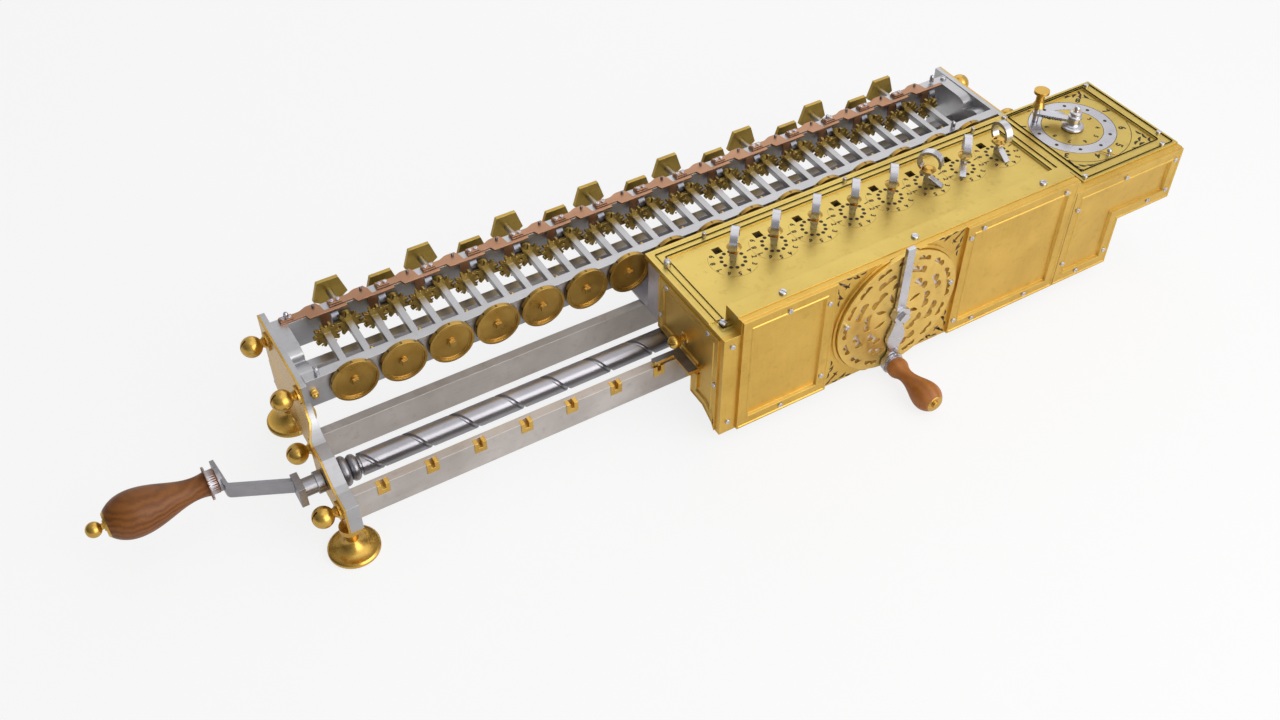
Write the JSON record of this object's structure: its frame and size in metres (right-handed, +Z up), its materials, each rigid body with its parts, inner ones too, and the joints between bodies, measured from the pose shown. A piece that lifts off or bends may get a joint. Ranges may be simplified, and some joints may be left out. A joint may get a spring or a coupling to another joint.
{
  "type": "stepped reckoner",
  "caption": "Early mechanical calculator: brass carriage with setting hooks, pierced crank wheel and multiplier dial, sliding by a screw along a steel frame with a row of result wheels",
  "frame": {"origin": "on the table, in the middle of the sole of the left front foot", "axes": "+X along the machine to the right, +Y to the rear, +Z up from the table"},
  "size_m": [0.8584, 0.2697, 0.1333],
  "materials": {
    "brass": "brushed brass",
    "steel": "brushed steel",
    "copper": "polished copper",
    "wood": "waxed wood"
  },
  "bodies": {
    "frame": {"left_end_plate": "steel", "right_end_plate": "steel", "face_plates": "brass", "front_rail": "steel", "rear_rail": "steel", "rail_inserts": "brass", "feet": "brass", "ball_head_screws": "brass", "result_bars": "steel", "wave_blocks": "steel", "carry_shafts": "steel", "carry_wheels": "brass", "carry_plates": "copper", "pentagon_discs": "brass"},
    "carriage": {"front_cover": "brass", "fretwork_panel": "brass", "front_ledge": "brass", "top_plate": "brass", "side_panels": "brass", "inner_frame": "steel"},
    "latch_lever": {"latch": "steel"},
    "crank_body": {"crank": "steel", "pierced_wheel": "brass"},
    "crank_handle": {"crank_grip": "wood"},
    "screw": {"worm_shaft": "steel"},
    "screw_handle": {"worm_grip": "wood"},
    "dial_ring": {"multiplier_ring": "steel"},
    "dial_lever": {"multiplier_lever": "steel"},
    "wheel_01": {"result_wheel_01": "brass"},
    "wheel_02": {"result_wheel_02": "brass"},
    "wheel_03": {"result_wheel_03": "brass"},
    "wheel_04": {"result_wheel_04": "brass"},
    "wheel_05": {"result_wheel_05": "brass"},
    "wheel_06": {"result_wheel_06": "brass"},
    "wheel_07": {"result_wheel_07": "brass"},
    "wheel_08": {"result_wheel_08": "brass"},
    "wheel_09": {"result_wheel_09": "brass"},
    "wheel_10": {"result_wheel_10": "brass"},
    "wheel_11": {"result_wheel_11": "brass"},
    "wheel_12": {"result_wheel_12": "brass"},
    "wheel_13": {"result_wheel_13": "brass"},
    "wheel_14": {"result_wheel_14": "brass"},
    "wheel_15": {"result_wheel_15": "brass"},
    "wheel_16": {"result_wheel_16": "brass"},
    "knob_1": {"setting_knob_1": "steel"},
    "drum_1": {"stepped_drum_1": "brass"},
    "knob_2": {"setting_knob_2": "steel"},
    "drum_2": {"stepped_drum_2": "brass"},
    "knob_3": {"setting_knob_3": "steel"},
    "drum_3": {"stepped_drum_3": "brass"},
    "knob_4": {"setting_knob_4": "steel"},
    "drum_4": {"stepped_drum_4": "brass"},
    "knob_5": {"setting_knob_5": "steel"},
    "drum_5": {"stepped_drum_5": "brass"},
    "knob_6": {"setting_knob_6": "steel"},
    "drum_6": {"stepped_drum_6": "brass"},
    "knob_7": {"setting_knob_7": "steel"},
    "drum_7": {"stepped_drum_7": "brass"},
    "knob_8": {"setting_knob_8": "steel"},
    "drum_8": {"stepped_drum_8": "brass"}
  },
  "joints": [
    {"name": "carriage_slide", "type": "slide", "parent": "frame", "child": "carriage", "axis": [1, 0, 0], "range_m": [-0.216, 0]},
    {"name": "screw_spin", "type": "hinge", "parent": "frame", "child": "screw", "pos_m": [0.3105, 0.03281, 0.041], "axis": [1, 0, 0], "range_deg": [0, 2160]},
    {"name": "screw_handle_spin", "type": "hinge", "parent": "screw", "child": "screw_handle", "pos_m": [-0.0895, 0.06981, 0.041], "axis": [1, 0, 0], "continuous": true},
    {"name": "latch_lift", "type": "hinge", "parent": "carriage", "child": "latch_lever", "pos_m": [0.2605, -0.0182, 0.0533], "axis": [1, 0, 0], "range_deg": [-6, 12]},
    {"name": "crank_spin", "type": "hinge", "parent": "carriage", "child": "crank_body", "pos_m": [0.4201, -0.0472, 0.0626], "axis": [0, 1, 0], "continuous": true},
    {"name": "crank_handle_spin", "type": "hinge", "parent": "crank_body", "child": "crank_handle", "pos_m": [0.4201, -0.0637, 0.0126], "axis": [0, 1, 0], "continuous": true},
    {"name": "dial_ring_spin", "type": "hinge", "parent": "carriage", "child": "dial_ring", "pos_m": [0.6479, 0.0173, 0.1025], "axis": [0, 0, 1], "continuous": true},
    {"name": "dial_lever_turn", "type": "hinge", "parent": "carriage", "child": "dial_lever", "pos_m": [0.6479, 0.0173, 0.104], "axis": [0, 0, 1], "range_deg": [-324, 0]},
    {"name": "result_01_spin", "type": "hinge", "parent": "frame", "child": "wheel_01", "pos_m": [0.0405, 0.0668, 0.0883], "axis": [0, 1, 0], "continuous": true},
    {"name": "result_02_spin", "type": "hinge", "parent": "frame", "child": "wheel_02", "pos_m": [0.0765, 0.0668, 0.0883], "axis": [0, 1, 0], "continuous": true},
    {"name": "result_03_spin", "type": "hinge", "parent": "frame", "child": "wheel_03", "pos_m": [0.1125, 0.0668, 0.0883], "axis": [0, 1, 0], "continuous": true},
    {"name": "result_04_spin", "type": "hinge", "parent": "frame", "child": "wheel_04", "pos_m": [0.1485, 0.0668, 0.0883], "axis": [0, 1, 0], "continuous": true},
    {"name": "result_05_spin", "type": "hinge", "parent": "frame", "child": "wheel_05", "pos_m": [0.1845, 0.0668, 0.0883], "axis": [0, 1, 0], "continuous": true},
    {"name": "result_06_spin", "type": "hinge", "parent": "frame", "child": "wheel_06", "pos_m": [0.2205, 0.0668, 0.0883], "axis": [0, 1, 0], "continuous": true},
    {"name": "result_07_spin", "type": "hinge", "parent": "frame", "child": "wheel_07", "pos_m": [0.2565, 0.0668, 0.0883], "axis": [0, 1, 0], "continuous": true},
    {"name": "result_08_spin", "type": "hinge", "parent": "frame", "child": "wheel_08", "pos_m": [0.2925, 0.0668, 0.0883], "axis": [0, 1, 0], "continuous": true},
    {"name": "result_09_spin", "type": "hinge", "parent": "frame", "child": "wheel_09", "pos_m": [0.3285, 0.0668, 0.0883], "axis": [0, 1, 0], "continuous": true},
    {"name": "result_10_spin", "type": "hinge", "parent": "frame", "child": "wheel_10", "pos_m": [0.3645, 0.0668, 0.0883], "axis": [0, 1, 0], "continuous": true},
    {"name": "result_11_spin", "type": "hinge", "parent": "frame", "child": "wheel_11", "pos_m": [0.4005, 0.0668, 0.0883], "axis": [0, 1, 0], "continuous": true},
    {"name": "result_12_spin", "type": "hinge", "parent": "frame", "child": "wheel_12", "pos_m": [0.4365, 0.0668, 0.0883], "axis": [0, 1, 0], "continuous": true},
    {"name": "result_13_spin", "type": "hinge", "parent": "frame", "child": "wheel_13", "pos_m": [0.4725, 0.0668, 0.0883], "axis": [0, 1, 0], "continuous": true},
    {"name": "result_14_spin", "type": "hinge", "parent": "frame", "child": "wheel_14", "pos_m": [0.5085, 0.0668, 0.0883], "axis": [0, 1, 0], "continuous": true},
    {"name": "result_15_spin", "type": "hinge", "parent": "frame", "child": "wheel_15", "pos_m": [0.5445, 0.0668, 0.0883], "axis": [0, 1, 0], "continuous": true},
    {"name": "result_16_spin", "type": "hinge", "parent": "frame", "child": "wheel_16", "pos_m": [0.5805, 0.0668, 0.0883], "axis": [0, 1, 0], "continuous": true},
    {"name": "setting_1_turn", "type": "hinge", "parent": "carriage", "child": "knob_1", "pos_m": [0.3196, 0.0215, 0.104], "axis": [0, 0, 1], "range_deg": [-324, 0]},
    {"name": "drum_1_spin", "type": "hinge", "parent": "carriage", "child": "drum_1", "pos_m": [0.3121, 0.0163, 0.0626], "axis": [0, 1, 0], "continuous": true},
    {"name": "setting_2_turn", "type": "hinge", "parent": "carriage", "child": "knob_2", "pos_m": [0.3556, 0.0215, 0.104], "axis": [0, 0, 1], "range_deg": [-324, 0]},
    {"name": "drum_2_spin", "type": "hinge", "parent": "carriage", "child": "drum_2", "pos_m": [0.3481, 0.0163, 0.0626], "axis": [0, 1, 0], "continuous": true},
    {"name": "setting_3_turn", "type": "hinge", "parent": "carriage", "child": "knob_3", "pos_m": [0.3916, 0.0215, 0.104], "axis": [0, 0, 1], "range_deg": [-324, 0]},
    {"name": "drum_3_spin", "type": "hinge", "parent": "carriage", "child": "drum_3", "pos_m": [0.3841, 0.0163, 0.0626], "axis": [0, 1, 0], "continuous": true},
    {"name": "setting_4_turn", "type": "hinge", "parent": "carriage", "child": "knob_4", "pos_m": [0.4276, 0.0215, 0.104], "axis": [0, 0, 1], "range_deg": [-324, 0]},
    {"name": "drum_4_spin", "type": "hinge", "parent": "carriage", "child": "drum_4", "pos_m": [0.4201, 0.0163, 0.0626], "axis": [0, 1, 0], "continuous": true},
    {"name": "setting_5_turn", "type": "hinge", "parent": "carriage", "child": "knob_5", "pos_m": [0.4636, 0.0215, 0.104], "axis": [0, 0, 1], "range_deg": [-324, 0]},
    {"name": "drum_5_spin", "type": "hinge", "parent": "carriage", "child": "drum_5", "pos_m": [0.4561, 0.0163, 0.0626], "axis": [0, 1, 0], "continuous": true},
    {"name": "setting_6_turn", "type": "hinge", "parent": "carriage", "child": "knob_6", "pos_m": [0.4996, 0.0215, 0.104], "axis": [0, 0, 1], "range_deg": [-216, 108]},
    {"name": "drum_6_spin", "type": "hinge", "parent": "carriage", "child": "drum_6", "pos_m": [0.4921, 0.0163, 0.0626], "axis": [0, 1, 0], "continuous": true},
    {"name": "setting_7_turn", "type": "hinge", "parent": "carriage", "child": "knob_7", "pos_m": [0.5356, 0.0215, 0.104], "axis": [0, 0, 1], "range_deg": [-144, 180]},
    {"name": "drum_7_spin", "type": "hinge", "parent": "carriage", "child": "drum_7", "pos_m": [0.5281, 0.0163, 0.0626], "axis": [0, 1, 0], "continuous": true},
    {"name": "setting_8_turn", "type": "hinge", "parent": "carriage", "child": "knob_8", "pos_m": [0.5716, 0.0215, 0.104], "axis": [0, 0, 1], "range_deg": [-180, 144]},
    {"name": "drum_8_spin", "type": "hinge", "parent": "carriage", "child": "drum_8", "pos_m": [0.5641, 0.0163, 0.0626], "axis": [0, 1, 0], "continuous": true}
  ],
  "couplings": [
    {"joint": "screw_spin", "follows": "carriage_slide", "rad_per_m": -174.53},
    {"joint": "drum_1_spin", "follows": "crank_spin", "ratio": -1},
    {"joint": "drum_2_spin", "follows": "crank_spin", "ratio": 1},
    {"joint": "drum_3_spin", "follows": "crank_spin", "ratio": -1},
    {"joint": "drum_4_spin", "follows": "crank_spin", "ratio": 1},
    {"joint": "drum_5_spin", "follows": "crank_spin", "ratio": -1},
    {"joint": "drum_6_spin", "follows": "crank_spin", "ratio": 1},
    {"joint": "drum_7_spin", "follows": "crank_spin", "ratio": -1},
    {"joint": "drum_8_spin", "follows": "crank_spin", "ratio": 1}
  ]
}
